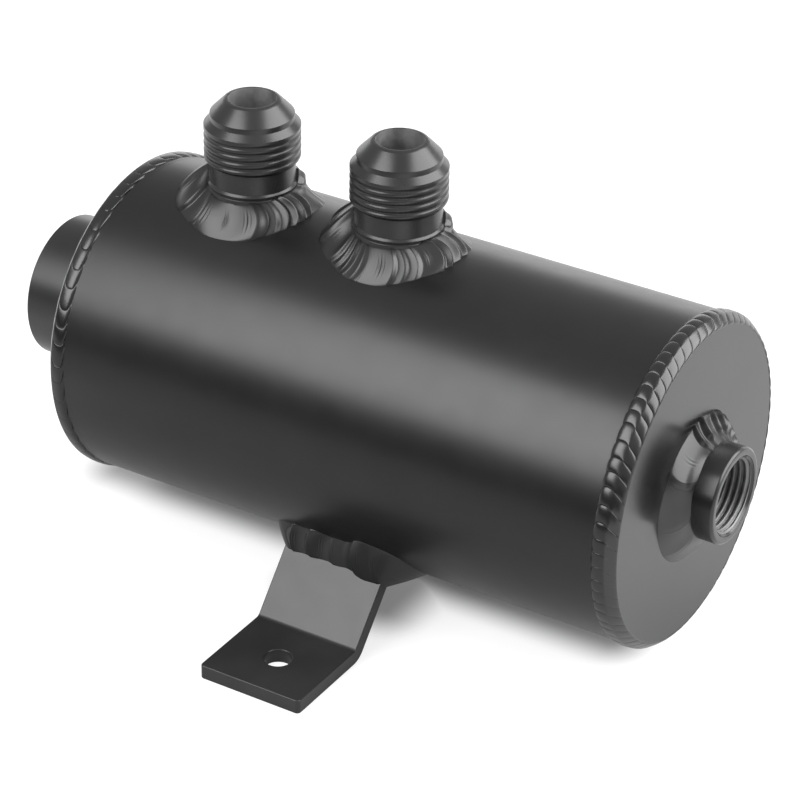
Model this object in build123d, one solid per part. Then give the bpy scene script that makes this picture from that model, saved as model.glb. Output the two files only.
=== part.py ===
"""Welded aluminium oil catch can: a tube with two end caps, flared inlet fittings, a drain bung,
an outlet stub, a bent foot bracket, an inner baffle plate and the rippled weld beads that join them.

The can is modelled with its axis along X, mid-length at X = 0, drain end at +X and inlets at +Z.
It is then moved so that the origin is the bracket's bolt hole, on the foot's underside.
"""
import math
import os

from build123d import *

# Body, in millimetres like every size here
TUBE_OD = 76.2
TUBE_WALL = 3.0
BODY_LENGTH = 148.0  # over the outer faces of both end caps
CAP_THICKNESS = 3.0
SLIP = 0.1  # room all round a piece that slides into its hole before it is welded

# Weld grooves and beads round the end caps
GROOVE_LAND = 0.6  # square end left on the tube at the groove's root
GROOVE_RUN = 2.6  # length of the bevel along the tube
RIM_DROP = 1.5  # cap face edge below the tube's surface
BEAD_RISE = 0.75  # crest of a ripple above the tube
BEAD_STEP = 0.5  # fall along one ripple
BEAD_LIP = 0.15  # height of the bead's edge where it ends
BEAD_SCALLOP = 0.45  # how far a ripple's toe wanders along the tube
BEAD_LEAN = 1.1  # run of a ripple's crest along the seam for each unit of height
BEAD_CREST = 0.65  # place of the crest, as a share of the bead's width from the cap's face
BEAD_SHOULDER = 0.38  # place of the shoulder on the face side, as the same kind of share
SHOULDER_RISE = 0.5  # height of that shoulder, as a share of the crest's
DRAIN_CAP_RIPPLES = 70
OUTLET_CAP_RIPPLES = 50

# Inlet fittings, on the crown of the tube
INLET_SETBACK = 31.6  # left inlet from the outlet cap's outer face
INLET_SPACING = 39.1
INLET_RISE = 24.9  # nose above the crown
INLET_BORE_R = 5.5
NOSE_R = 6.3
FLARE_R = 9.7
FLARE_HEIGHT = 3.5
FLARE_LAND = 1.3
THREAD_R = 11.1125  # 7/8-14 thread
THREAD_LEAD = 1.4  # height of the chamfer above and below the thread
THREAD_LENGTH = 7.7
NECK_R = 9.9
COLLAR_R = 10.5
COLLAR_RISE = 4.9
INLET_INSIDE = 1.0  # reach of the collar past the tube's inner wall

# Drain bung, in the middle of the drain cap
BUNG_R = 11.2
BUNG_RISE = 9.6
BUNG_INSIDE = 2.0
DRAIN_R = 8.19  # minor radius of an M18 x 1.5 thread
DRAIN_MOUTH = 1.1  # chamfer at both ends of the thread
BUNG_CHAMFER = 0.5

# Outlet stub, in the middle of the outlet cap
STUB_R = 17.25
STUB_STEP = 0.25  # turned off the stub where it is welded
STUB_WALL = 2.5
STUB_REACH = 22.0
STUB_INSIDE = 2.0
STUB_CHAMFER = 0.4

# Foot bracket
BRACKET_X = -1.3
BRACKET_WIDTH = 26.4
BRACKET_THICKNESS = 3.5
LEG_ANGLE = 40.75  # leg's direction from straight down towards the front
FOOT_DROP = 47.7  # foot's underside below the can's axis
FOOT_LENGTH = 23.5  # from the inside of the bend to the front edge
HOLE_SETBACK = 11.7  # bolt hole from the inside of the bend
HOLE_R = 3.25  # clearance for an M6 bolt
BEND_R = 1.5  # inside radius
FOOT_CORNER_R = 1.0

# Baffle plate, between the inlets and the outlet
BAFFLE_THICKNESS = 1.5
BAFFLE_SETBACK = 12.0  # from the outlet cap's inner face
BAFFLE_HOLES = 6
BAFFLE_HOLE_R = 4.0
BAFFLE_CIRCLE_R = 21.0
DRAIN_NOTCH_R = 6.0  # gap at the bottom of the plate that lets oil run past

# Fillet welds, as height up the neck, reach along the base and number of ripples
INLET_WELD = {"rise": 4.5, "reach": 6.2, "ripples": 13}
BUNG_WELD = {"rise": 4.6, "reach": 5.4, "ripples": 18}
STUB_WELD = {"rise": 4.0, "reach": 4.5, "ripples": 20}
BRACKET_WELD = {"rise": 5.6, "reach": 4.6}
BRACKET_SIDE_RIPPLES = 4
BRACKET_END_RIPPLES = 3
BRACKET_WELD_TAIL = 3.4  # how much further the weld reaches past the leg's +X edge
FILLET_BULGE = 0.5  # crest of a ripple above a straight fillet
FILLET_STEP = 0.9  # fall along one ripple
FILLET_LIP = 0.25  # height of a fillet's lower edge on the base
FILLET_LEDGE = 0.4  # width of its upper edge beside the neck
FILLET_LEAN = 0.45  # run of a ripple's crest along the seam for each unit of height
FILLET_SHOULDER = 0.12  # place of the shoulder beside the neck, as a share of the reach
SHOULDER_FALL = 0.2  # its fall from the top, as a share of the weld's height
FILLET_HOLLOW = 0.1  # middle below a straight fillet, as a share of the weld's height
INLET_WELD_START = 0.3  # first ripple past +X, as a share of a ripple
WELD_ROOT = 2.5  # depth to which a weld is drawn into its neck and base before they are cut out
LEG_ROOT = 0.7  # the same depth for the leg's weld, as a share of half the strip's thickness

# Sizes that follow from those above
RADIUS = TUBE_OD / 2
BORE = RADIUS - TUBE_WALL
FACE_X = BODY_LENGTH / 2
TUBE_END_X = FACE_X - CAP_THICKNESS
GROOVE_ROOT_R = BORE + GROOVE_LAND
BEAD_WIDTH = CAP_THICKNESS + GROOVE_RUN
SPIGOT_R = STUB_R - STUB_STEP
BAFFLE_X = -TUBE_END_X + BAFFLE_SETBACK
FIRST_INLET_X = INLET_SETBACK - FACE_X
INLET_X = {"left": FIRST_INLET_X, "middle": FIRST_INLET_X + INLET_SPACING}
LEG_DOWN = Vector(0, -math.sin(math.radians(LEG_ANGLE)), -math.cos(math.radians(LEG_ANGLE)))
LEG_FRONT = Vector(0, -math.cos(math.radians(LEG_ANGLE)), math.sin(math.radians(LEG_ANGLE)))
FOOT_TOP_Z = BRACKET_THICKNESS - FOOT_DROP
LEG_LENGTH = (LEG_FRONT.Z * BRACKET_THICKNESS / 2 - FOOT_TOP_Z) / -LEG_DOWN.Z
BEND_Y = LEG_DOWN.Y * LEG_LENGTH + LEG_FRONT.Y * BRACKET_THICKNESS / 2
BOLT_Y = BEND_Y - HOLE_SETBACK
ORIGIN = Location((-BRACKET_X, -BOLT_Y, FOOT_DROP))


def along_x(radius, start, end):
    """A solid cylinder round the can's axis between two places along it."""
    return Pos((start + end) / 2, 0, 0) * Rot(0, 90, 0) * Cylinder(radius, end - start)


def turned(points, axis):
    """A solid turned round an axis, from (radius, distance along the axis) points."""
    if axis == Axis.X:
        outline = [(along, radius, 0) for radius, along in points]
    else:
        outline = [(radius, 0, along) for radius, along in points]
    return revolve(make_face(Polyline(*outline, close=True)), axis)


def body_tube():
    """Tube with bevelled ends and a hole for each inlet."""
    half = [
        (BORE, TUBE_END_X),
        (GROOVE_ROOT_R, TUBE_END_X),
        (RADIUS, TUBE_END_X - GROOVE_RUN),
    ]
    outline = half + [(radius, -along) for radius, along in reversed(half)]
    tube = turned(outline, Axis.X)
    for x in INLET_X.values():
        tube -= Pos(x, 0, RADIUS) * Cylinder(COLLAR_R + SLIP, RADIUS)
    return tube


def end_cap(hole_r):
    """Round plate for the +X end with a bevelled rim and a hole for the piece welded into it."""
    outline = [
        (hole_r + SLIP, TUBE_END_X),
        (GROOVE_ROOT_R, TUBE_END_X),
        (RADIUS - RIM_DROP, FACE_X),
        (hole_r + SLIP, FACE_X),
    ]
    return turned(outline, Axis.X)


def other_end(solid):
    """The same solid turned round to the -X end."""
    return Rot(0, 0, 180) * solid


def inlet_fitting():
    """Male flared fitting: collar, neck, thread at its full size, land and flare, with a bore."""
    nose = RADIUS + INLET_RISE
    land_top = nose - FLARE_HEIGHT
    land_foot = land_top - FLARE_LAND
    thread_top = land_foot - THREAD_LEAD
    thread_foot = thread_top - THREAD_LENGTH
    collar_foot = BORE - INLET_INSIDE
    outline = [
        (INLET_BORE_R, collar_foot),
        (COLLAR_R, collar_foot),
        (COLLAR_R, RADIUS + COLLAR_RISE),
        (NECK_R, RADIUS + COLLAR_RISE),
        (NECK_R, thread_foot - THREAD_LEAD),
        (THREAD_R, thread_foot),
        (THREAD_R, thread_top),
        (FLARE_R, land_foot),
        (FLARE_R, land_top),
        (NOSE_R, nose),
        (INLET_BORE_R, nose),
    ]
    return turned(outline, Axis.Z)


def drain_bung():
    """Threaded bung through the drain cap, its thread at the minor radius."""
    inner = TUBE_END_X - BUNG_INSIDE
    outer = FACE_X + BUNG_RISE
    outline = [
        (DRAIN_R + DRAIN_MOUTH, inner),
        (BUNG_R, inner),
        (BUNG_R, outer - BUNG_CHAMFER),
        (BUNG_R - BUNG_CHAMFER, outer),
        (DRAIN_R + DRAIN_MOUTH, outer),
        (DRAIN_R, outer - DRAIN_MOUTH),
        (DRAIN_R, inner + DRAIN_MOUTH),
    ]
    return turned(outline, Axis.X)


def outlet_stub():
    """Plain pipe stub for a hose or a clamp-on filter, at the +X end until it is turned round."""
    inner = TUBE_END_X - STUB_INSIDE
    outer = FACE_X + STUB_REACH
    shoulder = FACE_X + STUB_WELD["rise"]
    outline = [
        (STUB_R - STUB_WALL, inner),
        (SPIGOT_R, inner),
        (SPIGOT_R, shoulder),
        (STUB_R, shoulder),
        (STUB_R, outer - STUB_CHAMFER),
        (STUB_R - STUB_CHAMFER, outer),
        (STUB_R - STUB_WALL + STUB_CHAMFER, outer),
        (STUB_R - STUB_WALL, outer - STUB_CHAMFER),
    ]
    return turned(outline, Axis.X)


def baffle_plate():
    """Perforated disc across the tube with a notch at the bottom for oil."""
    plate = along_x(BORE - SLIP, BAFFLE_X, BAFFLE_X + BAFFLE_THICKNESS)
    cut_start = BAFFLE_X - BAFFLE_THICKNESS
    cut_end = BAFFLE_X + 2 * BAFFLE_THICKNESS
    hole = Pos(0, 0, BAFFLE_CIRCLE_R) * along_x(BAFFLE_HOLE_R, cut_start, cut_end)
    for number in range(BAFFLE_HOLES):
        plate -= Rot(360 * (number + 0.5) / BAFFLE_HOLES, 0, 0) * hole
    return plate - Pos(0, 0, -BORE) * along_x(DRAIN_NOTCH_R, cut_start, cut_end)


def corner_nearest(shape, point):
    """The vertex of a shape that lies nearest to a point."""
    return shape.vertices().sort_by_distance(point)[0]


def mounting_bracket():
    """Bent strip: a radial leg coped to the tube and a level foot with a bolt hole."""
    half = LEG_FRONT * (BRACKET_THICKNESS / 2)
    buried = LEG_DOWN * BORE
    inside = Vector(0, BEND_Y, FOOT_TOP_Z)
    front_top = inside - Vector(0, FOOT_LENGTH, 0)
    front_foot = front_top - Vector(0, 0, BRACKET_THICKNESS)
    back_run = (FOOT_DROP - half.Z) / -LEG_DOWN.Z
    outside = LEG_DOWN * back_run - half
    outline = Polyline(buried + half, inside, front_top, front_foot, outside, buried - half, close=True)
    profile = make_face(outline)
    profile = fillet(corner_nearest(profile, inside), BEND_R)
    profile = fillet(corner_nearest(profile, outside), BEND_R + BRACKET_THICKNESS)
    strip = extrude(profile, BRACKET_WIDTH / 2, dir=(1, 0, 0), both=True)
    front_edges = strip.edges().filter_by(Axis.Z).group_by(Axis.Y)[0]
    strip = fillet(front_edges, FOOT_CORNER_R)
    strip -= Pos(0, BOLT_Y, FOOT_TOP_Z) * Cylinder(HOLE_R, FOOT_DROP)
    strip -= along_x(RADIUS, -BRACKET_WIDTH, BRACKET_WIDTH)
    return Pos(BRACKET_X, 0, 0) * strip


def fused(solids):
    """One solid from solids that share faces."""
    return solids[0].fuse(*solids[1:]).clean()


def bead_section(turn, rise, toe):
    """Leaning section across an end cap bead, at an angle round the can's axis."""
    edge_r = RADIUS - RIM_DROP
    crest = [
        (0, edge_r + BEAD_LIP),
        (BEAD_SHOULDER * BEAD_WIDTH, RADIUS + SHOULDER_RISE * rise),
        (BEAD_CREST * BEAD_WIDTH, RADIUS + rise),
        (toe, RADIUS + BEAD_LIP),
    ]
    root = [(toe, GROOVE_ROOT_R - BEAD_LIP), (0, GROOVE_ROOT_R - BEAD_LIP)]
    points = [
        (FACE_X - inward, -BEAD_LEAN * (radius - edge_r), radius)
        for inward, radius in crest + root
    ]
    return Rot(turn, 0, 0) * make_face(Polyline(*points, close=True))


def end_cap_weld(ripples, tube, cap):
    """Ring of overlapping ripples that fills the groove between tube and cap at the +X end."""
    pitch = 360 / ripples
    start = bead_section(0, BEAD_RISE, BEAD_WIDTH + BEAD_SCALLOP)
    end = bead_section(pitch, BEAD_RISE - BEAD_STEP, BEAD_WIDTH)
    ripple = loft([start, end], ruled=True)
    ring = fused([Rot(pitch * number, 0, 0) * ripple for number in range(ripples)])
    return ring - tube - cap


def fillet_section(station, rise, reach, bulge, root, lean):
    """Leaning section across a fillet weld, at a station on the neck that it runs round.

    A station is the foot of the neck, the way out, the way up, the way along, a function that says
    how far the base has dropped at a distance out, and how much further the weld reaches there.
    """
    foot, out, up, along, drop, further = station
    reach += further
    top = rise - drop(0)
    level = -drop(reach)
    fall = top - level
    points = [
        (-root, top),
        (FILLET_LEDGE, top),
        (FILLET_SHOULDER * reach, top - SHOULDER_FALL * fall),
        (reach / 2, (top + level) / 2 - FILLET_HOLLOW * fall + bulge),
        (reach, level + FILLET_LIP),
        (reach, level - root),
        (-root, level - root),
    ]
    corners = [
        foot + out * x + up * y + along * (lean * (x / reach + y / rise - 1) * rise)
        for x, y in points
    ]
    return make_face(Polyline(*corners, close=True))


def fillet_weld(stations, rise, reach, root=WELD_ROOT, lean=FILLET_LEAN):
    """Closed run of ripples round a neck, one between each station and the next."""
    swing = FILLET_STEP / 2
    big = (rise, reach + swing, FILLET_BULGE, root, lean)
    small = (rise - swing, reach - swing, FILLET_BULGE - FILLET_STEP, root, lean)
    ripples = []
    for here, there in zip(stations, stations[1:] + stations[:1]):
        ends = [fillet_section(here, *big), fillet_section(there, *small)]
        ripples.append(loft(ends, ruled=True))
    return fused(ripples)


def tube_drop(across):
    """Fall of the tube's surface from its crown at a distance to the side."""
    return RADIUS - math.sqrt(RADIUS**2 - across**2)


def inlet_weld(rise, reach, ripples):
    """Saddle weld round an inlet's collar."""
    stations = []
    for number in range(ripples):
        turn = 2 * math.pi * (number + INLET_WELD_START) / ripples
        out = Vector(math.cos(turn), math.sin(turn), 0)
        along = Vector(-math.sin(turn), math.cos(turn), 0)
        foot = out * COLLAR_R + Vector(0, 0, RADIUS)
        stations.append((
            foot, out, Vector(0, 0, 1), along,
            lambda x, side=math.sin(turn): tube_drop((COLLAR_R + x) * side), 0,
        ))
    weld = fillet_weld(stations, rise, reach)
    weld -= Pos(0, 0, RADIUS) * Cylinder(COLLAR_R, RADIUS)
    return weld - along_x(RADIUS, -RADIUS, RADIUS)


def face_weld(neck_r, rise, reach, ripples):
    """Flat weld round a pipe that stands on the +X cap."""
    stations = []
    for number in range(ripples):
        turn = 2 * math.pi * number / ripples
        out = Vector(0, math.cos(turn), math.sin(turn))
        along = Vector(0, -math.sin(turn), math.cos(turn))
        foot = out * neck_r + Vector(FACE_X, 0, 0)
        stations.append((foot, out, Vector(1, 0, 0), along, lambda x: 0, 0))
    weld = fillet_weld(stations, rise, reach)
    weld -= along_x(neck_r, 0, BODY_LENGTH)
    return weld - along_x(RADIUS, 0, FACE_X)


def bracket_weld(rise, reach):
    """Weld all round the bracket's leg where it stands on the tube."""
    half_thickness = BRACKET_THICKNESS / 2
    run = BRACKET_WIDTH - BRACKET_THICKNESS
    side = [(run * (0.5 - number / BRACKET_SIDE_RIPPLES), 0) for number in range(BRACKET_SIDE_RIPPLES)]
    end = [(-run / 2, 180 * number / BRACKET_END_RIPPLES) for number in range(BRACKET_END_RIPPLES)]
    half_loop = side + end
    loop = half_loop + [(-x, turn + 180) for x, turn in half_loop]
    stations = []
    for x, turn in loop:
        across = math.cos(math.radians(turn))
        endwise = math.sin(math.radians(turn))
        out = LEG_FRONT * across - Vector(endwise, 0, 0)
        along = Vector(-across, 0, 0) - LEG_FRONT * endwise
        foot = LEG_DOWN * RADIUS + Vector(BRACKET_X + x, 0, 0) + out * half_thickness
        stations.append((
            foot, out, LEG_DOWN, along,
            lambda x, side=across: tube_drop((half_thickness + x) * side),
            max(0, -endwise) * BRACKET_WELD_TAIL,
        ))
    weld = fillet_weld(stations, rise, reach, root=LEG_ROOT * half_thickness, lean=0)
    weld -= along_x(RADIUS, -BODY_LENGTH, BODY_LENGTH)
    return weld - mounting_bracket()


def catch_can():
    """Every piece of the can by name."""
    tube = body_tube()
    drain_cap = end_cap(BUNG_R)
    outlet_cap = end_cap(SPIGOT_R)
    plain_cap = end_cap(DRAIN_R)
    pieces = {
        "body_tube": tube,
        "drain_end_cap": drain_cap,
        "outlet_end_cap": other_end(outlet_cap),
        "drain_bung": drain_bung(),
        "outlet_stub": other_end(outlet_stub()),
        "mounting_bracket": mounting_bracket(),
        "baffle_plate": baffle_plate(),
        "drain_cap_weld": end_cap_weld(DRAIN_CAP_RIPPLES, tube, plain_cap),
        "outlet_cap_weld": other_end(end_cap_weld(OUTLET_CAP_RIPPLES, tube, plain_cap)),
        "drain_bung_weld": face_weld(BUNG_R, **BUNG_WELD),
        "outlet_stub_weld": other_end(face_weld(SPIGOT_R, **STUB_WELD)),
        "bracket_weld": bracket_weld(**BRACKET_WELD),
    }
    fitting = inlet_fitting()
    weld = inlet_weld(**INLET_WELD)
    for place, x in INLET_X.items():
        pieces[f"inlet_fitting_{place}"] = Pos(x, 0, 0) * fitting
        pieces[f"inlet_weld_{place}"] = Pos(x, 0, 0) * weld
    return {name: ORIGIN * solid for name, solid in pieces.items()}


os.makedirs("parts", exist_ok=True)
for name, solid in catch_can().items():
    export_step(solid, f"parts/{name}.step")
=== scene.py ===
"""Looks of the welded oil catch can: threads, rippled weld beads, softened edges, black anodised
surfaces, and a white studio seen from the photograph's angle. Lengths are in millimetres until a
mesh is made.
"""
import math

import bmesh
import bpy
import numpy as np
from mathutils import Matrix, Vector


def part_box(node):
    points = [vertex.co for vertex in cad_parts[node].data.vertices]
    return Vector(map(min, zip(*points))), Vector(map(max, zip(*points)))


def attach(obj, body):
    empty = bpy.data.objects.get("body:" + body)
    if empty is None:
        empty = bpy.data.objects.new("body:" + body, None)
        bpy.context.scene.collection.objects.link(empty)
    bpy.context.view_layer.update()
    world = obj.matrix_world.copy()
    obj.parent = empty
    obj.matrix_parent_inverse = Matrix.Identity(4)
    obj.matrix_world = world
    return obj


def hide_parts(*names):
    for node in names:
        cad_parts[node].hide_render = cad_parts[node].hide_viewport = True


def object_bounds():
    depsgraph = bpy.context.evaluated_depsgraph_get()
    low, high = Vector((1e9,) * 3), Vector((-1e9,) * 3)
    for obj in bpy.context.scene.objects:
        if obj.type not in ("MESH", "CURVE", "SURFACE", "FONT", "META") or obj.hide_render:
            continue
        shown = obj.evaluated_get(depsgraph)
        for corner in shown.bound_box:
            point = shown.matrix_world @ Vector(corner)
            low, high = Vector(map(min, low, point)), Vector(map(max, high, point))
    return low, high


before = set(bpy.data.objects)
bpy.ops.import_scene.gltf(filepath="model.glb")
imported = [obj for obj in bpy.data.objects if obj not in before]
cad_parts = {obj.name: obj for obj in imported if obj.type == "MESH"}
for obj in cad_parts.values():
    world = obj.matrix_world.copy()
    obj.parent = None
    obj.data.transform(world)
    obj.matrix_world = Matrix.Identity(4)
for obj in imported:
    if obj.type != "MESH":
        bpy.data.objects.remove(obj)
cad_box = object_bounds()

MM = 0.001
FULL_TURN = 2 * math.pi


def mm_box(node):
    """Lowest and highest corners of a CAD node, in millimetres."""
    low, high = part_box(node)
    return np.array(low) / MM, np.array(high) / MM


# Sizes read from the CAD nodes
TUBE_LOW, TUBE_HIGH = mm_box("body_tube")
AXIS = (TUBE_LOW + TUBE_HIGH) / 2
RADIUS = (TUBE_HIGH[2] - TUBE_LOW[2]) / 2
CROWN = TUBE_HIGH[2]
DRAIN_FACE = mm_box("drain_end_cap")[1][0]
OUTLET_FACE = mm_box("outlet_end_cap")[0][0]
BUNG_LOW, BUNG_HIGH = mm_box("drain_bung")
BUNG_R = (BUNG_HIGH[2] - BUNG_LOW[2]) / 2
STUB_LOW, STUB_HIGH = mm_box("outlet_stub")
STUB_R = (STUB_HIGH[2] - STUB_LOW[2]) / 2
BRACKET_LOW, BRACKET_HIGH = mm_box("mounting_bracket")

# Turned pieces. A thread's crest and flank are shares of half a pitch
THREAD_CREST = 0.2
THREAD_FLANK = 0.7
TURNED_CREASE = 32
EASE_LIMIT = 0.45

# Inlet fittings. The nose's rounding is given as steps out from its radius and down from its top
BORE_R = 5.5
BORE_MARGIN = 0.02
NOSE_R = 6.3
NOSE_ROUNDING = ((0.3, 0.31), (-0.05, 0.1), (-0.4, 0))
FLARE_R = 9.7
FLARE_HEIGHT = 3.5
FLARE_LAND = 1.3
INLET_THREAD = {"pitch": 25.4 / 14, "depth": 0.25, "lead": 1.4, "length": 7.7, "step": 0.1, "turn_steps": 168}
NECK_R = 9.9
COLLAR_R = 10.5
COLLAR_RISE = 4.9
RING_R = COLLAR_R - 0.15
RING_GAP = 0.55
RING_GROOVE_R = NECK_R + 0.1
RING_GROOVE_DEEPEST = 1.6
SHOULDER_DROP = 0.3
SHOULDER_RISE = 0.2
FITTING_EASE = 0.12

# Drain bung
DRAIN_R = 8.19
DRAIN_THREAD = {"pitch": 1.5, "depth": 0.6, "mouth": 1.1, "step": 0.09, "turn_steps": 144}
BUNG_CHAMFER = 0.5
BUNG_EASE = 0.2

# Stub and bracket. The press line's place is measured from the bend towards the foot
STUB_EASE = 0.15
EDGE_ANGLE = math.radians(30)
EDGE_STEPS = 4
FLAT_ANGLE = math.radians(0.4)
MERGE_DISTANCE = 0.001
SOFT_CREASE = 40
LEG_ANGLE = math.radians(40.75)
LEG_DOWN = np.array([0, -math.sin(LEG_ANGLE), -math.cos(LEG_ANGLE)])
LEG_FRONT = np.array([0, -math.cos(LEG_ANGLE), math.sin(LEG_ANGLE)])
BRACKET_THICKNESS = 3.5
BRACKET_EASE = 0.25
BEND_EASE = 3.2
BEND_STEPS = 48
BEND_LENGTH = 15
PRESS_HEIGHT = 0.17
PRESS_PLACE = -1.3
PRESS_WIDTH = 0.42

# All weld beads
WELD_CREASE = 50
BURIED = 0.75
SWAY_WAVES = ((3, 0.3), (5, 0.35), (8, 0.35))

# Beads round the end caps. Row heights are over the tube, from the toe to the seam and on over the edge
GROOVE_ROOT_R = RADIUS - 2.4
GROOVE_END = 5.0
BEVEL_END = 5.6
RIPPLE_STEPS = 18
RIPPLE_SPREAD = 0.16
RIPPLE_CRESTS = (0.8, 1.05)
RIPPLE_SKEW = 0.85
RIPPLE_ROUNDNESS = 0.35
ROW_POINTS = 16
ROW_ROUNDNESS = 0.5
TUBE_ROW_HEIGHTS = (0.004, 0.72, 0.62, 0.42)
FACE_ROW_HEIGHTS = (0.42, -0.25, -1.2, -1.75)
FACE_ROW_END = (-0.35, -0.02)
TOE_PULL = 0.1
SEAM_PULL = 0.4
EDGE_PULL = 0.6
TUBE_ROW_BASE = 0.6
FACE_ROW_BASE = 0.5
FACE_ROW_SHARE = 0.7
FACE_TRAIL = 0.8
FACE_TRAIL_POWER = 1.2
SCALLOP = 0.3
SCALLOP_ROUNDNESS = 0.7
CALM_TURN = math.radians(140)
CALM_SHARE = 0.65
CALM_EDGE = 0.4
CALM_FADE = 0.3
CUFF_COLUMNS = 4
CUFF_EDGES = (0.15, 0.1, 0.05)
CUFF_LEVEL = 0.004
CUFF_SINK = 0.03
CUFF_MARGIN = 0.05

# Fillet welds
WELD_STEPS = 960
FILLET_ROWS = 30
FILLET_ROUNDNESS = 0.6
FILLET_MARGIN = 0.05
STUB_WELD_OVERLAP = 0.25
COIN_R = 14
COIN_SPREAD = 0.3
COIN_CRESTS = (0.7, 1.1)
COIN_CLIMB = 1.4
COIN_EDGE = 0.5
COIN_REACH = 0.6
COIN_RISE = 0.4
WIDE_COIN = 0.035
WIDE_COIN_FADE = 0.03
WIDE_COIN_EDGE = 0.32
FLATNESS = 0.5
BULGE = 0.015
SLOW_SWELL = 0.5
SLOW_RISE = 0.6
LIP_FADE = 0.3
FREEZE_LINES = 96
LINE_GROUPS = 16
LINE_DEPTH = 0.06
LINE_START = 0.3
LINE_FADE = 0.3
LINE_ROUNDNESS = 4
KNUCKLE_PLACE = 0.2
KNUCKLE_WIDTH = 0.13
KNUCKLE_CALM = 0.75


# Meshes
def add_mesh(name, points, faces, node, material, crease):
    """Adds a closed mesh that stands for a CAD node. Edges sharper than crease degrees stay sharp."""
    points = points.reshape(-1, 3) * MM
    first, second, third, fourth = (points[faces[:, corner]] for corner in range(4))
    volume = np.sum(first * (np.cross(second, third) + np.cross(third, fourth)))
    if volume < 0:
        faces = faces[:, ::-1]
    mesh = bpy.data.meshes.new(name)
    mesh.from_pydata(points.tolist(), [], faces.tolist())
    return add_piece(name, mesh, node, material, crease)


def add_piece(name, mesh, node, material, crease):
    """Puts a mesh into the scene in the place of a CAD node."""
    mesh.polygons.foreach_set("use_smooth", np.ones(len(mesh.polygons), dtype=bool))
    mesh.set_sharp_from_angle(angle=math.radians(crease))
    mesh.materials.clear()
    mesh.materials.append(material)
    piece = bpy.data.objects.new(name, mesh)
    bpy.context.scene.collection.objects.link(piece)
    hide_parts(node)
    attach(piece, "root")
    return piece


def ring_faces(rows, columns):
    """Quads of a grid that closes on itself both ways."""
    index = np.arange(rows * columns).reshape(rows, columns)
    beside = np.roll(index, -1, axis=1)
    below = np.roll(index, -1, axis=0)
    corner = np.roll(beside, -1, axis=0)
    return np.stack([index, beside, corner, below], axis=-1).reshape(-1, 4)


def eased(points, ease, steps=4):
    """A closed outline with its corners rounded off by a small length, or a share of a short side."""
    points = [np.array(point, float) for point in points]
    outline = []
    for before, corner, after in zip(points[-1:] + points[:-1], points, points[1:] + points[:1]):
        start, end = (
            corner + side * min(ease / np.linalg.norm(side), EASE_LIMIT)
            for side in (before - corner, after - corner)
        )
        for step in np.linspace(0, 1, steps):
            outline.append((1 - step) ** 2 * start + 2 * step * (1 - step) * corner + step**2 * end)
    return outline


def smooth(share):
    """A soft step from 0 to 1."""
    share = np.clip(share, 0, 1)
    return share * share * (3 - 2 * share)


def sharp_edges(shape):
    """Edges of a shape where two faces meet at a clear angle."""
    return [edge for edge in shape.edges if edge.calc_face_angle(0) > EDGE_ANGLE]


def round_off(shape, chosen, ease, steps):
    """Rounds chosen edges of a shape."""
    bmesh.ops.bevel(
        shape, geom=chosen, offset=ease * MM, offset_type="OFFSET", segments=steps, profile=0.5,
        affect="EDGES", clamp_overlap=True,
    )


def press_lines(shape, corners):
    """Raises the fine line that a press leaves along the rounded inside of each bend."""
    outward = Vector(LEG_FRONT + np.array([0, 0, 1])).normalized()
    along = Vector((1, 0, 0)).cross(outward)
    for corner in corners:
        for vert in shape.verts:
            up = (vert.co - corner).dot(outward) / MM
            aside = (vert.co - corner).dot(along) / MM
            off = (aside - PRESS_PLACE) / PRESS_WIDTH
            if 0 < up < BEND_EASE and abs(off) < 1:
                vert.co += outward * PRESS_HEIGHT * MM * (1 - off**2) ** 2


def softened(name, node, ease, material):
    """A CAD node's own shape with its sharp edges rounded, and the inside of a bend rounded more."""
    shape = bmesh.new()
    shape.from_mesh(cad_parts[node].data)
    bmesh.ops.remove_doubles(shape, verts=shape.verts, dist=MERGE_DISTANCE * MM)
    bmesh.ops.dissolve_limit(shape, angle_limit=FLAT_ANGLE, verts=shape.verts, edges=shape.edges)
    bends = [
        edge for edge in sharp_edges(shape)
        if not edge.is_convex and edge.calc_length() > BEND_LENGTH * MM
    ]
    corners = [edge.verts[0].co.copy() for edge in bends]
    round_off(shape, bends, BEND_EASE, BEND_STEPS)
    round_off(shape, sharp_edges(shape), ease, EDGE_STEPS)
    press_lines(shape, corners)
    mesh = bpy.data.meshes.new(name)
    shape.to_mesh(mesh)
    shape.free()
    add_piece(name, mesh, node, material, SOFT_CREASE)
    normals = np.zeros((len(mesh.vertices), 3))
    for face in mesh.polygons:
        normals[list(face.vertices)] += np.array(face.normal) * face.area
    normals /= np.linalg.norm(normals, axis=1, keepdims=True)
    mesh.normals_split_custom_set_from_vertices(normals)


def bare_bore(piece, plane, middle, limit, metal):
    """Gives the faces within a radius of a piece's axis the bare metal of a bore."""
    mesh = piece.data
    mesh.materials.append(metal)
    centres = np.zeros(3 * len(mesh.polygons))
    mesh.polygons.foreach_get("center", centres)
    offset = centres.reshape(-1, 3)[:, plane] / MM - np.array(middle)[list(plane)]
    inside = np.hypot(offset[:, 0], offset[:, 1]) < limit
    mesh.polygons.foreach_set("material_index", inside.astype(np.int32))


# Turned pieces
def thread_fall(turns):
    """How far a rounded thread lies below its crest, from 0 to 1, at a number of turns along it."""
    return smooth((np.abs(2 * (turns % 1) - 1) - THREAD_CREST) / THREAD_FLANK)


def round_turn(steps):
    """Angles of a number of steps round a turned piece, as a column."""
    return np.linspace(0, FULL_TURN, steps, endpoint=False)[:, None]


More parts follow.
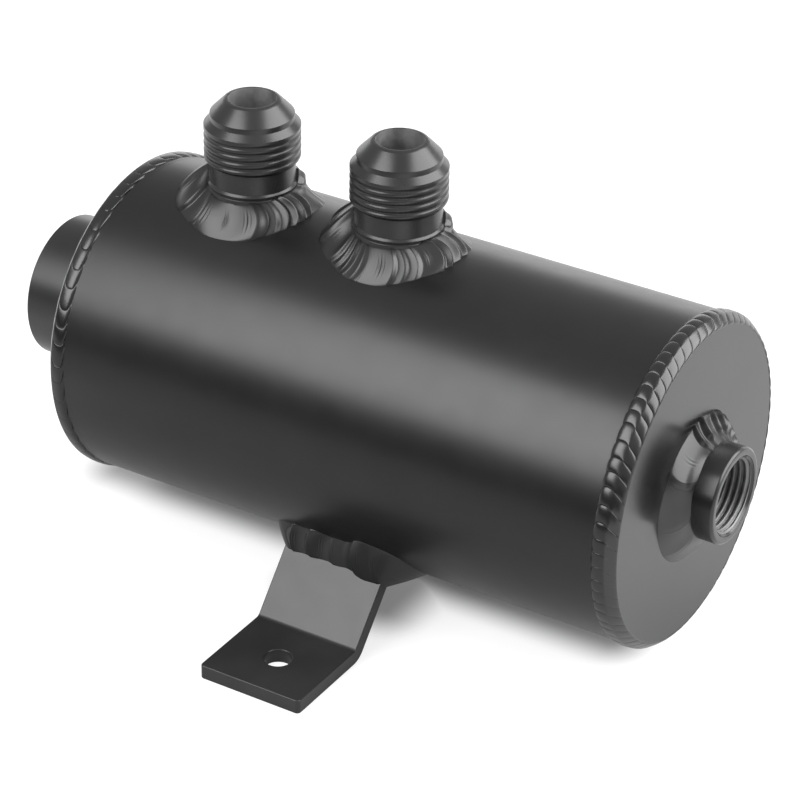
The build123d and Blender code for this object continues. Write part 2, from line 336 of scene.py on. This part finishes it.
def inlet_fitting(place, material):
    """Male flare fitting with a cut thread, a relief under it and a stepped collar."""
    node = f"inlet_fitting_{place}"
    low, high = mm_box(node)
    thread_r = (high[0] - low[0]) / 2
    land_top = high[2] - FLARE_HEIGHT
    land_foot = land_top - FLARE_LAND
    lead = INLET_THREAD["lead"]
    thread_top = land_foot - lead
    thread_foot = thread_top - INLET_THREAD["length"]
    relief = thread_foot - lead
    collar = CROWN + COLLAR_RISE
    outline = eased(
        [
            (FLARE_R, land_foot),
            (FLARE_R, land_top),
            *((NOSE_R + out, high[2] - down) for out, down in NOSE_ROUNDING),
            (BORE_R, high[2]),
            (BORE_R, low[2]),
            (COLLAR_R, low[2]),
            (COLLAR_R, collar - 2 * RING_GAP),
            (RING_GROOVE_R, collar - RING_GROOVE_DEEPEST * RING_GAP),
            (RING_R, collar - RING_GAP),
            (RING_R, collar - SHOULDER_DROP),
            (NECK_R, collar + SHOULDER_RISE),
            (NECK_R, relief),
        ],
        FITTING_EASE,
    )
    heights = np.arange(relief, land_foot, INLET_THREAD["step"])[1:]
    profile = np.array(outline + [(thread_r, height) for height in heights])
    turn = round_turn(INLET_THREAD["turn_steps"])
    radius = np.repeat(profile[None, :, 0], len(turn), axis=0)
    fall = thread_fall(heights / INLET_THREAD["pitch"] - turn / FULL_TURN)
    fall = fall * np.clip((thread_top - heights) / INLET_THREAD["pitch"], 0, 1)
    slope = (thread_r - FLARE_R) / lead
    top_chamfer = FLARE_R + (land_foot - heights) * slope
    foot_chamfer = NECK_R + (heights - relief) * slope
    cut = np.minimum(thread_r - INLET_THREAD["depth"] * fall, np.minimum(top_chamfer, foot_chamfer))
    radius[:, -len(heights):] = cut
    middle = (low + high) / 2
    points = np.stack(
        [
            middle[0] + radius * np.cos(turn),
            AXIS[1] + radius * np.sin(turn),
            np.repeat(profile[None, :, 1], len(turn), axis=0),
        ],
        axis=-1,
    )
    faces = ring_faces(*radius.shape)
    piece = add_mesh(f"flare_inlet_{place}", points, faces, node, material, TURNED_CREASE)
    bare_bore(piece, (0, 1), middle, BORE_R + BORE_MARGIN, PLAIN_BORE)


def drain_bung(material):
    """Bung with a cut female thread."""
    inner, outer = BUNG_LOW[0], BUNG_HIGH[0]
    wide = DRAIN_R + DRAIN_THREAD["mouth"]
    outline = eased(
        [
            (wide, inner),
            (BUNG_R, inner),
            (BUNG_R, outer - BUNG_CHAMFER),
            (BUNG_R - BUNG_CHAMFER, outer),
            (wide, outer),
        ],
        BUNG_EASE,
    )
    places = np.arange(outer, inner, -DRAIN_THREAD["step"])[1:]
    profile = np.array(outline + [(DRAIN_R, place) for place in places])
    turn = round_turn(DRAIN_THREAD["turn_steps"])
    radius = np.repeat(profile[None, :, 0], len(turn), axis=0)
    fall = thread_fall(places / DRAIN_THREAD["pitch"] - turn / FULL_TURN)
    funnel = wide - np.minimum(outer - places, places - inner)
    radius[:, -len(places):] = np.maximum(DRAIN_R + DRAIN_THREAD["depth"] * fall, funnel)
    points = np.stack(
        [
            np.repeat(profile[None, :, 1], len(turn), axis=0),
            AXIS[1] + radius * np.cos(turn),
            AXIS[2] + radius * np.sin(turn),
        ],
        axis=-1,
    )
    faces = ring_faces(*radius.shape)
    piece = add_mesh("threaded_bung", points, faces, "drain_bung", material, TURNED_CREASE)
    bare_bore(piece, (1, 2), AXIS, DRAIN_R + DRAIN_THREAD["depth"], CUT_THREAD)


# Weld beads
def ripple(share, roundness):
    """Height along one ripple, from 0 in the valley to 1 on its crest."""
    return np.sin(math.pi * share**RIPPLE_SKEW) ** roundness


def coin(share, edge):
    """Height along one coin: a climb to its edge, which lies at a share of it, then a soft step down."""
    return np.minimum(share / edge, 1) ** COIN_CLIMB * smooth((1 - share) / (1 - edge))


def uneven(count, spread, rng):
    """Widths of a run of uneven ripples, which add up to 1."""
    widths = 1 + spread * rng.uniform(-1, 1, count)
    return widths / np.sum(widths)


def edges(widths):
    """Where ripples of given widths start and end along their loop."""
    return np.concatenate([[0], np.cumsum(widths)])


def coin_run(place, spans, rng):
    """Height of the coins along a loop, how far they are flattened from the loop's curve, and how strong
    the lines on them are. A span is its share of the loop, its number of coins and how tall they stand.
    Narrow coins are even, and wide ones climb slowly and fall steeply.
    """
    bounds = edges(
        np.concatenate([share * uneven(count, COIN_SPREAD, rng) for share, count, height in spans])
    )
    crest = np.concatenate([height * rng.uniform(*COIN_CRESTS, count) for share, count, height in spans])
    bounds /= bounds[-1]
    index = np.searchsorted(bounds, place, side="right") - 1
    width = np.diff(bounds)[index]
    share = (place - bounds[index]) / width
    flat = FLATNESS * COIN_R * (math.pi * width) ** 2 / 2 * ((2 * share - 1) ** 2 - 1 / 3)
    wide = smooth((width - WIDE_COIN) / WIDE_COIN_FADE)
    return coin(share, COIN_EDGE + WIDE_COIN_EDGE * wide) * crest[index], flat, wide * crest[index]


def sway(share, rng):
    """Slow unevenness round a loop, between about -1 and 1."""
    return sum(
        np.cos(FULL_TURN * (waves * share + rng.uniform())) * weight for waves, weight in SWAY_WAVES
    )


def loop_share(phase, bounds):
    """Share of the loop at a number of ripples along it."""
    count = len(bounds) - 1
    return np.interp(phase % count, np.arange(count + 1), bounds) + np.floor(phase / count)


def tube_drop(across):
    """Fall of the tube's surface from its crown at a distance to the side."""
    return RADIUS - np.sqrt(RADIUS**2 - across**2)


def bezier(points, steps):
    """Points on a cubic curve and its normals, to the left of the way it runs."""
    start, near, far, end = (np.array(point, float) for point in points)
    t = steps[:, None]
    curve = (1 - t) ** 3 * start + 3 * t * (1 - t) ** 2 * near + 3 * t**2 * (1 - t) * far + t**3 * end
    run = (1 - t) ** 2 * (near - start) + 2 * t * (1 - t) * (far - near) + t**2 * (end - far)
    run /= np.linalg.norm(run, axis=1, keepdims=True)
    return curve, np.stack([-run[:, 1], run[:, 0]], axis=1)


def cap_bead(name, node, face, inward, ripples, toe, seam, wave, lean, seed):
    """Bead of overlapping ripples round an end cap, with one row on the tube and one over the cap's edge.

    inward is the way along X from the cap's face into the can. toe and seam are how far from the face
    the bead ends and its two rows meet. A cuff level with the tube covers the rest of the bevel. wave is
    how tall the ripples are, and lean is how far the sides of a ripple trail behind its middle.
    """
    rng = np.random.default_rng(seed)
    bounds = edges(uneven(ripples, RIPPLE_SPREAD, rng))
    crest = rng.uniform(*RIPPLE_CRESTS, ripples)
    steps = (1 - np.cos(math.pi * np.arange(RIPPLE_STEPS) / RIPPLE_STEPS)) / 2
    phase = (np.arange(ripples)[:, None] + steps).ravel()
    crest = crest[phase.astype(int)][:, None]
    across = np.linspace(0, 1, ROW_POINTS)
    run = toe - seam
    tube_places = (toe, toe - TOE_PULL * run, seam + SEAM_PULL * run, seam)
    face_places = (seam, EDGE_PULL * seam, *FACE_ROW_END)
    tube_row, tube_normal = bezier(list(zip(tube_places, TUBE_ROW_HEIGHTS)), across)
    face_row, face_normal = bezier(list(zip(face_places, FACE_ROW_HEIGHTS)), across)
    hump = np.sin(math.pi * across) ** ROW_ROUNDNESS
    tube_lag = lean * np.abs(2 * across - 1) ** 3
    face_lag = lean + math.copysign(FACE_TRAIL, lean) * across**FACE_TRAIL_POWER
    section = np.concatenate([tube_row, face_row[1:]])
    normal = np.concatenate([tube_normal, face_normal[1:]])
    lag = np.concatenate([tube_lag, face_lag[1:]])
    turn = FULL_TURN * loop_share(phase[:, None] + lag, bounds)
    calm = 1 - CALM_SHARE * smooth((np.cos(turn - CALM_TURN) - CALM_EDGE) / CALM_FADE)
    ripples_along = ripple(phase % 1, RIPPLE_ROUNDNESS)[:, None] * crest
    domes = (ripples_along - TUBE_ROW_BASE) * hump
    scales = (ripples_along - FACE_ROW_BASE) * hump[1:]
    swell = wave * calm * np.hstack([domes, FACE_ROW_SHARE * scales])
    inset = section[:, 0] - normal[:, 0] * swell
    radius = RADIUS + section[:, 1] - normal[:, 1] * swell
    scallop = ripple(phase % 1, SCALLOP_ROUNDNESS)[:, None] * crest
    inset[:, :ROW_POINTS] += SCALLOP * scallop * (1 - across) ** 3
    rows = np.ones((len(phase), 1))
    cuff = [(BEVEL_END + edge) * rows for edge in CUFF_EDGES] + [inset[:, :1] + CUFF_MARGIN]
    inset = np.hstack([*cuff, inset, BURIED * rows, GROOVE_END * rows])
    level = (RADIUS + CUFF_LEVEL) * rows
    root = GROOVE_ROOT_R * rows
    radius = np.hstack([level - CUFF_SINK, level, level, level, radius, root, root])
    turn = np.hstack([turn[:, :1]] * CUFF_COLUMNS + [turn, turn[:, -1:], turn[:, :1]])
    points = np.stack(
        [face + inward * inset, AXIS[1] - radius * np.sin(turn), AXIS[2] + radius * np.cos(turn)], axis=-1
    )
    piece = add_mesh(name, points, ring_faces(*radius.shape), node, BEAD, WELD_CREASE)
    piece.data.materials.append(TUBE)
    on_cuff = np.tile(np.arange(radius.shape[1]) < CUFF_COLUMNS, len(phase))
    piece.data.polygons.foreach_set("material_index", on_cuff.astype(np.int32))


def tail(place, edge, full, further=0, higher=0, bow=0, stout=0):
    """A side of a fillet weld that is larger than the rest.

    place is the share of the loop where its middle is, and edge and full are the cosines of the angles
    from there at which it begins and has its full size. There the weld reaches further, climbs higher, is
    more convex by bow, and stands out more by stout close to the neck, where its coins are calmer.
    """
    return {
        "place": place, "edge": edge, "full": full,
        "further": further, "higher": higher, "bow": bow, "stout": stout,
    }


def fillet_weld(name, node, station, up, size, bend, spans, swing, seed, start=0, tails=(), lip=-1):
    """Weld of overlapping coins round a neck.

    station takes shares of the loop and gives the neck's foot, the way out from it, and a function
    that says how far the base has dropped at a distance out. size is how high the weld climbs up the
    neck and how far it reaches out. bend is over 0.5 where its face is convex. The spans of coins
    begin at the share start. swing is the slow unevenness. tails are the sides where the weld is larger.
    The coins stand out beyond the share lip of the way from the neck to the weld's edge.
    """
    rng = np.random.default_rng(seed)
    place = np.arange(WELD_STEPS) / WELD_STEPS
    height, flat, lined = coin_run(place, spans, rng)
    height, flat = height[:, None], flat[:, None]
    groups = np.clip(np.cos(FULL_TURN * LINE_GROUPS * place), 0, 1) ** 2
    groups = groups * smooth((lined - LINE_START) / LINE_FADE)
    lines = (np.sin(FULL_TURN * FREEZE_LINES * place) * groups)[:, None]
    across = np.linspace(0, 1, FILLET_ROWS)
    share = start + place[:, None] + BULGE * (1 - (2 * across - 1) ** 2)
    foot, out, drop = station(share)
    slow = swing * sway(place, rng)[:, None]
    rise, reach = size
    far = reach + slow
    top = rise - drop(0) + SLOW_RISE * swing * sway(place, rng)[:, None]
    knuckle = 0
    for side in tails:
        toward = np.cos(FULL_TURN * (start + place - side["place"]))[:, None]
        toward = smooth((toward - side["edge"]) / (side["full"] - side["edge"]))
        far = far + side["further"] * toward
        top = top + side["higher"] * toward
        bend = bend + side["bow"] * toward
        knuckle = knuckle + side["stout"] * toward
    height = height * (1 - KNUCKLE_CALM * smooth(knuckle))
    far = far + COIN_REACH * height
    top = top + COIN_RISE * height
    toe = -drop(far) - FILLET_MARGIN
    ease = [(1 - across) ** 2, 2 * across * (1 - across), across**2]
    x = ease[1] * bend * far + ease[2] * far - FILLET_MARGIN * ease[0]
    y = ease[0] * top + ease[1] * (toe + bend * (top - toe)) + ease[2] * toe
    slant = np.hypot(top - toe, far)
    hump = np.sin(math.pi * across)
    crown = hump**FILLET_ROUNDNESS
    ridge = crown * smooth((across - lip) / LIP_FADE)
    swell = height * ridge + (flat + SLOW_SWELL * slow) * crown + LINE_DEPTH * lines * hump**LINE_ROUNDNESS
    swell = swell + knuckle * np.exp(-(((across - KNUCKLE_PLACE) / KNUCKLE_WIDTH) ** 2))
    x = x + swell * (top - toe) / slant
    y = y + swell * far / slant
    under = toe[:, -1:] - BURIED
    x = np.hstack([x, x[:, -1:], np.full_like(under, -BURIED), np.full_like(under, -BURIED)])
    y = np.hstack([y, under, under, y[:, :1] - FILLET_MARGIN])
    order = [*range(FILLET_ROWS), FILLET_ROWS - 1, 0, 0]
    points = foot[:, order] + out[:, order] * x[..., None] + up * y[..., None]
    add_mesh(name, points, ring_faces(*x.shape), node, FILLET, WELD_CREASE)


def saddle_station(middle_x):
    """Stations round an inlet's collar, on the crown of the tube."""
    def station(share):
        turn = FULL_TURN * share
        out = np.stack([np.cos(turn), np.sin(turn), np.zeros_like(turn)], axis=-1)
        foot = np.array([middle_x, AXIS[1], CROWN]) + COLLAR_R * out
        return foot, out, lambda x: tube_drop((COLLAR_R + x) * np.sin(turn))
    return station


def face_station(face, way, neck_r):
    """Stations round a pipe that stands on an end cap. way is the direction along X that it points."""
    def station(share):
        turn = FULL_TURN * share * way
        out = np.stack([np.zeros_like(turn), np.cos(turn), np.sin(turn)], axis=-1)
        foot = np.array([face, AXIS[1], AXIS[2]]) + neck_r * out
        return foot, out, lambda x: np.zeros_like(turn + x)
    return station


def leg_station(share):
    """Stations round the bracket's leg: its front, one end, its back and the other end."""
    half = BRACKET_THICKNESS / 2
    run = BRACKET_HIGH[0] - BRACKET_LOW[0] - BRACKET_THICKNESS
    length = 2 * run + FULL_TURN * half
    gone = (share % 1) * length
    second_half = gone > length / 2
    gone = gone - second_half * length / 2
    turn = np.clip((gone - run) / half, 0, math.pi) + second_half * math.pi
    sign = np.where(second_half, -1, 1)
    x = sign * (run / 2 - np.minimum(gone, run))
    across, endwise = np.cos(turn), np.sin(turn)
    out = across[..., None] * LEG_FRONT - endwise[..., None] * np.array([1, 0, 0])
    middle = (BRACKET_LOW[0] + BRACKET_HIGH[0]) / 2
    foot = AXIS * np.array([0, 1, 1]) + LEG_DOWN * RADIUS + out * half
    foot[..., 0] += middle + x
    return foot, out, lambda x: tube_drop((half + x) * across)


# Materials. Noise scales are per metre, and tints are shares of a tone
NOISE_LOW, NOISE_HIGH = 0.3, 0.7
CLOUD_SCALE = (70, 70, 70)
SMUDGE_SCALE = (190, 190, 190)
SMUDGE_SPREAD = 0.015
GRAIN_SCALE = (5200, 5200, 5200)
GRAIN_DEPTH = 0.002
BLACK_TINTS = ((0.82, 0.82, 0.84), (1.2, 1.2, 1.22))
METAL_SCALE = (400, 400, 400)
METAL_SPREAD = 0.05
METAL_TINTS = ((0.85, 0.85, 0.86), (1.15, 1.15, 1.16))


def node_tree(name):
    """A new material, its nodes, its links and its shader."""
    material = bpy.data.materials.new(name)
    material.use_nodes = True
    nodes, links = material.node_tree.nodes, material.node_tree.links
    shader = next(node for node in nodes if node.type == "BSDF_PRINCIPLED")
    return material, nodes, links, shader


def stretched_noise(nodes, links, scale, detail):
    """Noise in the object's own space, with a scale for each axis."""
    place = nodes.new("ShaderNodeTexCoord")
    mapping = nodes.new("ShaderNodeMapping")
    mapping.inputs["Scale"].default_value = scale
    texture = nodes.new("ShaderNodeTexNoise")
    texture.inputs["Scale"].default_value = 1
    texture.inputs["Detail"].default_value = detail
    links.new(place.outputs["Object"], mapping.inputs["Vector"])
    links.new(mapping.outputs["Vector"], texture.inputs["Vector"])
    return texture.outputs["Fac"]


def spread(nodes, links, value, low, high):
    """A noise value spread over a range."""
    ranged = nodes.new("ShaderNodeMapRange")
    ranged.inputs["From Min"].default_value = NOISE_LOW
    ranged.inputs["From Max"].default_value = NOISE_HIGH
    ranged.inputs["To Min"].default_value = low
    ranged.inputs["To Max"].default_value = high
    links.new(value, ranged.inputs["Value"])
    return ranged.outputs["Result"]


def mottle(nodes, links, shader, noise, tone, tints):
    """Lets a noise vary a shader's colour between two tints of a tone."""
    colour = nodes.new("ShaderNodeMix")
    colour.data_type = "RGBA"
    for socket, tint in zip(("A", "B"), tints):
        colour.inputs[socket].default_value = (*(share * tone for share in tint), 1)
    links.new(spread(nodes, links, noise, 0, 1), colour.inputs["Factor"])
    links.new(colour.outputs["Result"], shader.inputs["Base Color"])


def smear(nodes, links, shader, noise, roughness, by):
    """Lets a noise vary a shader's roughness by a little."""
    links.new(spread(nodes, links, noise, roughness - by, roughness + by), shader.inputs["Roughness"])


def anodised(name, tone, roughness, marks, mark_depth, gloss=1.48):
    """Black anodised aluminium. marks is the scale, for each axis, of the marks that its making left."""
    material, nodes, links, shader = node_tree(name)
    shader.inputs["IOR"].default_value = gloss
    cloud = stretched_noise(nodes, links, CLOUD_SCALE, detail=4)
    mottle(nodes, links, shader, cloud, tone, BLACK_TINTS)
    smudge = stretched_noise(nodes, links, SMUDGE_SCALE, detail=5)
    smear(nodes, links, shader, smudge, roughness, SMUDGE_SPREAD)
    normal = None
    for scale, depth in ((marks, mark_depth), (GRAIN_SCALE, GRAIN_DEPTH)):
        bump = nodes.new("ShaderNodeBump")
        bump.inputs["Strength"].default_value = 1
        bump.inputs["Distance"].default_value = depth * MM
        links.new(stretched_noise(nodes, links, scale, detail=2), bump.inputs["Height"])
        if normal:
            links.new(normal, bump.inputs["Normal"])
        normal = bump.outputs["Normal"]
    links.new(normal, shader.inputs["Normal"])
    return material


def bare_metal(name, tone, roughness):
    """Bare machined aluminium inside a bore."""
    material, nodes, links, shader = node_tree(name)
    shader.inputs["Metallic"].default_value = 1
    smudge = stretched_noise(nodes, links, METAL_SCALE, detail=4)
    mottle(nodes, links, shader, smudge, tone, METAL_TINTS)
    smear(nodes, links, shader, smudge, roughness, METAL_SPREAD)
    return material


TUBE = anodised("drawn_tube", tone=0.007, roughness=0.32, marks=(40, 1400, 1400), mark_depth=0.0012)
PLATE = anodised(
    "end_plate", tone=0.007, roughness=0.2, marks=(900, 900, 900), mark_depth=0.0006, gloss=1.49,
)
TURNED = anodised("turned_fitting", tone=0.017, roughness=0.28, marks=(60, 60, 5200), mark_depth=0.002)
TURNED_X = anodised("turned_bung", tone=0.016, roughness=0.26, marks=(5200, 60, 60), mark_depth=0.002)
PIPE = anodised("pipe_stub", tone=0.018, roughness=0.32, marks=(60, 1400, 1400), mark_depth=0.0012)
STRIP = anodised(
    "bent_strip", tone=0.022, roughness=0.34, marks=(60, 1600, 1600), mark_depth=0.0012, gloss=1.5,
)
BEAD = anodised(
    "weld_bead", tone=0.009, roughness=0.26, marks=(900, 900, 900), mark_depth=0.004, gloss=1.55,
)
FILLET = anodised(
    "fillet_weld", tone=0.012, roughness=0.34, marks=(900, 900, 900), mark_depth=0.004, gloss=1.52,
)
PLAIN_BORE = bare_metal("plain_bore", tone=0.24, roughness=0.6)
CUT_THREAD = bare_metal("cut_thread", tone=0.19, roughness=0.6)

for node, material in (
    ("body_tube", TUBE), ("drain_end_cap", PLATE), ("outlet_end_cap", PLATE), ("baffle_plate", PLATE),
):
    for material_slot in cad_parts[node].material_slots:
        material_slot.material = material

# Pieces
softened("hose_stub", "outlet_stub", STUB_EASE, PIPE)
softened("foot_bracket", "mounting_bracket", BRACKET_EASE, STRIP)
drain_bung(TURNED_X)
SADDLE_START = {"left": 0.628, "middle": 0.653}
SADDLE_SPANS = {
    "left": (
        (0.055, 1, 0.6), (0.186, 1, 0.9), (0.035, 1, 0.3), (0.1, 4, 0.9), (0.06, 1, 0.7), (0.05, 2, 0.5),
        (0.514, 7, 0.55),
    ),
    "middle": (
        (0.086, 3, 0.5), (0.085, 1, 0.9), (0.03, 1, 0.2), (0.035, 1, 0.5), (0.06, 1, 0.8), (0.12, 4, 0.9),
        (0.05, 2, 0.4), (0.534, 7, 0.55),
    ),
}
SADDLE_TAILS = (
    tail(place=0.336, edge=-0.28, full=0.17, higher=3.0),
    tail(place=0.46, edge=0.2, full=0.75, further=1.4, bow=0.03),
    tail(place=0.19, edge=0.4, full=0.85, further=0.4, bow=-0.3, stout=1.0),
)
for place, spans in SADDLE_SPANS.items():
    inlet_fitting(place, TURNED)
    low, high = mm_box(f"inlet_fitting_{place}")
    fillet_weld(
        f"saddle_bead_{place}", f"inlet_weld_{place}", saddle_station((low[0] + high[0]) / 2),
        up=np.array([0, 0, 1]), size=(4.2, 5.7), bend=0.55, spans=spans, swing=0.3, seed=3,
        start=SADDLE_START[place], tails=SADDLE_TAILS,
    )
cap_bead(
    "drain_cap_bead", "drain_cap_weld", DRAIN_FACE, inward=-1, ripples=70, toe=5.2, seam=2.0, wave=0.4,
    lean=0.2, seed=5,
)
cap_bead(
    "outlet_cap_bead", "outlet_cap_weld", OUTLET_FACE, inward=1, ripples=50, toe=4.3, seam=1.2, wave=0.22,
    lean=-0.4, seed=6,
)
fillet_weld(
    "bung_bead", "drain_bung_weld", face_station(DRAIN_FACE, way=1, neck_r=BUNG_R),
    up=np.array([1, 0, 0]), size=(4.2, 5.0), bend=0.55,
    spans=((0.26, 7, 1.0), (0.13, 1, 0.5), (0.2, 2, 0.2), (0.41, 5, 0.2)), swing=0.25, seed=11,
    start=0.03, tails=(tail(place=0.62, edge=0, full=1, further=1.8, higher=0.4),), lip=0.15,
)
fillet_weld(
    "stub_bead", "outlet_stub_weld", face_station(OUTLET_FACE, way=-1, neck_r=STUB_R - STUB_WELD_OVERLAP),
    up=np.array([-1, 0, 0]), size=(3.7, 4.1), bend=0.5, spans=((1, 24, 0.4),), swing=0.2, seed=12,
)
fillet_weld(
    "leg_bead", "bracket_weld", leg_station,
    up=LEG_DOWN, size=(5.0, 4.2), bend=0.5,
    spans=((0.4, 4, 0.6), (0.1, 1, 0.3), (0.4, 5, 0.6), (0.1, 1, 0.3)), swing=0.45, seed=13,
    tails=(tail(place=0.95, edge=0.3, full=0.85, further=3.8, higher=1.0),),
)

# Studio, in metres. The flag is a dark cloth that stands in front of the can
FLOOR_REACH = 5.0
FLOOR_COLOUR = 0.3
FLOOR_GLOW = 0.8
FLAG_LEFT, FLAG_RIGHT = -0.7, 0.5
FLAG_Y = -0.26
FLAG_TOP = 0.12
FLAG_COLOUR = 0.005
PAPER_ROUGHNESS = 0.9
SKY_STRENGTH = 0.52


def stage_mesh(name, points, material):
    """A floor or backdrop with four corners."""
    mesh = bpy.data.meshes.new(name)
    mesh.from_pydata(points, [], [(0, 1, 2, 3)])
    mesh.materials.append(material)
    piece = bpy.data.objects.new(name, mesh)
    bpy.context.scene.collection.objects.link(piece)
    return piece


def paper(name, colour):
    """Matt studio paper or cloth."""
    material, nodes, links, shader = node_tree(name)
    shader.inputs["Base Color"].default_value = (colour, colour, colour, 1)
    shader.inputs["Roughness"].default_value = PAPER_ROUGHNESS
    shader.inputs["Specular IOR Level"].default_value = 0
    return material, nodes, links, shader


def maths(nodes, links, operation, first, second):
    """Output of a maths node on two outputs or numbers."""
    node = nodes.new("ShaderNodeMath")
    node.operation = operation
    for socket, value in zip(node.inputs, (first, second)):
        if isinstance(value, float):
            socket.default_value = value
        else:
            links.new(value, socket)
    return node.outputs[0]


def shade(nodes, links, low, high, fade, darkest):
    """A painted shade for the floor's glow: a value that is darkest inside a rectangle on the floor and rises
    to 1 outside a soft edge.

    The corners low and high and the width of the edge are in millimetres.
    """
    low, high = np.array([*low, -1]) * MM, np.array([*high, 1]) * MM
    place = nodes.new("ShaderNodeTexCoord").outputs["Object"]
    for operation, value in (
        ("SUBTRACT", (low + high) / 2),
        ("ABSOLUTE", None),
        ("SUBTRACT", (high - low) / 2),
        ("MAXIMUM", (0, 0, 0)),
    ):
        step = nodes.new("ShaderNodeVectorMath")
        step.operation = operation
        links.new(place, step.inputs[0])
        if value is not None:
            step.inputs[1].default_value = value
        place = step.outputs[0]
    distance = nodes.new("ShaderNodeVectorMath")
    distance.operation = "LENGTH"
    links.new(place, distance.inputs[0])
    ramp = nodes.new("ShaderNodeMapRange")
    ramp.interpolation_type = "SMOOTHSTEP"
    ramp.inputs["From Max"].default_value = fade * MM
    ramp.inputs["To Min"].default_value = darkest
    links.new(distance.outputs["Value"], ramp.inputs["Value"])
    return ramp.outputs["Result"]


def floor_paper():
    """White paper that glows for the camera and for reflections, but hardly in the can's shade, which is
    painted: its glow is turned down in rectangles under the can and behind the leg, a painted shadow. Near
    the can and in front of it, its glow in reflections is weaker, a painted shade that only reflections see.
    """
    material, nodes, links, shader = paper("floor_paper", FLOOR_COLOUR)
    # Painted shadow: the floor's glow is turned down under the can and behind the leg
    painted_shadow_under_can = shade(nodes, links, low=(-80, 52), high=(57, 93), fade=13, darkest=0.07)
    painted_shadow_behind_leg = shade(nodes, links, low=(-12, 34), high=(7, 60), fade=14, darkest=0.21)
    # Painted shade that only reflections see: less glow near the can and in front of it
    painted_shade_around_can = shade(nodes, links, low=(-80, -60), high=(57, 60), fade=60, darkest=0.32)
    painted_shade_in_front = shade(nodes, links, low=(-220, -220), high=(57, -80), fade=60, darkest=0.25)
    painted_shade_near_can = maths(nodes, links, "MINIMUM", painted_shade_around_can, painted_shade_in_front)
    path = nodes.new("ShaderNodeLightPath").outputs
    reflected = maths(nodes, links, "MAXIMUM", path["Is Glossy Ray"], path["Is Transmission Ray"])
    reflected = maths(nodes, links, "MULTIPLY", reflected, painted_shade_near_can)
    seen = maths(nodes, links, "MAXIMUM", path["Is Camera Ray"], reflected)
    glow = maths(nodes, links, "MULTIPLY", seen, maths(nodes, links, "MINIMUM", painted_shadow_under_can, painted_shadow_behind_leg))
    shader.inputs["Emission Color"].default_value = (1, 1, 1, 1)
    links.new(maths(nodes, links, "MULTIPLY", glow, FLOOR_GLOW), shader.inputs["Emission Strength"])
    return material


def softbox(name, way, distance, width, height, radiance):
    """A rectangular lamp that faces the can, seen from it in a given direction."""
    way = Vector(way).normalized()
    lamp = bpy.data.lights.new(name, "AREA")
    lamp.shape = "RECTANGLE"
    lamp.size = width
    lamp.size_y = height
    lamp.energy = radiance * math.pi * width * height
    piece = bpy.data.objects.new(name, lamp)
    piece.location = Vector(AXIS * MM) + way * distance
    piece.rotation_euler = way.to_track_quat("Z", "Y").to_euler()
    bpy.context.scene.collection.objects.link(piece)


floor_z = cad_box[0][2]
stage_mesh(
    "floor",
    [
        (-FLOOR_REACH, -FLOOR_REACH, floor_z),
        (FLOOR_REACH, -FLOOR_REACH, floor_z),
        (FLOOR_REACH, FLOOR_REACH, floor_z),
        (-FLOOR_REACH, FLOOR_REACH, floor_z),
    ],
    floor_paper(),
)
softbox("front_softbox", way=(-0.31, -0.7, 0.62), distance=0.9, width=0.58, height=0.7, radiance=6.2)
softbox("side_softbox", way=(0.708, 0.33, 0.6), distance=0.9, width=1.1, height=0.78, radiance=6.6)
softbox("back_softbox", way=(-0.5, 0.85, 0.136), distance=1.35, width=3.2, height=0.38, radiance=1.5)
flag = stage_mesh(
    "dark_flag",
    [
        (FLAG_LEFT, FLAG_Y, floor_z),
        (FLAG_RIGHT, FLAG_Y, floor_z),
        (FLAG_RIGHT, FLAG_Y, FLAG_TOP),
        (FLAG_LEFT, FLAG_Y, FLAG_TOP),
    ],
    paper("flag_cloth", FLAG_COLOUR)[0],
)
flag.visible_camera = False
flag.visible_diffuse = False
flag.visible_shadow = False
world = bpy.data.worlds.new("studio")
world.use_nodes = True
sky = world.node_tree.nodes["Background"].inputs
sky["Color"].default_value = (1, 1, 1, 1)
sky["Strength"].default_value = SKY_STRENGTH
bpy.context.scene.world = world

# Camera, placed as the photograph was taken
AZIMUTH, ELEVATION, ROLL = (math.radians(angle) for angle in (31.014, 30.095, 1.105))
TARGET = Vector((-5.369, 59.831, 39.569)) * MM
DISTANCE = 760.741 * MM
SENSOR_WIDTH = 36
FOCAL_LENGTH = 146.913
NEAREST = 10 * MM
back = Vector((
    math.sin(AZIMUTH) * math.cos(ELEVATION),
    -math.cos(AZIMUTH) * math.cos(ELEVATION),
    math.sin(ELEVATION),
))
level = Vector((math.cos(AZIMUTH), math.sin(AZIMUTH), 0))
upright = back.cross(level)
right = math.cos(ROLL) * level + math.sin(ROLL) * upright
up = -math.sin(ROLL) * level + math.cos(ROLL) * upright
lens = bpy.data.cameras.new("camera")
lens.sensor_width = SENSOR_WIDTH
lens.lens = FOCAL_LENGTH
lens.clip_start = NEAREST
camera = bpy.data.objects.new("camera", lens)
facing = Matrix((right, up, back)).transposed().to_4x4()
camera.matrix_world = Matrix.Translation(TARGET + back * DISTANCE) @ facing
bpy.context.scene.collection.objects.link(camera)
bpy.context.scene.camera = camera
bpy.context.scene.view_settings.view_transform = "Standard"
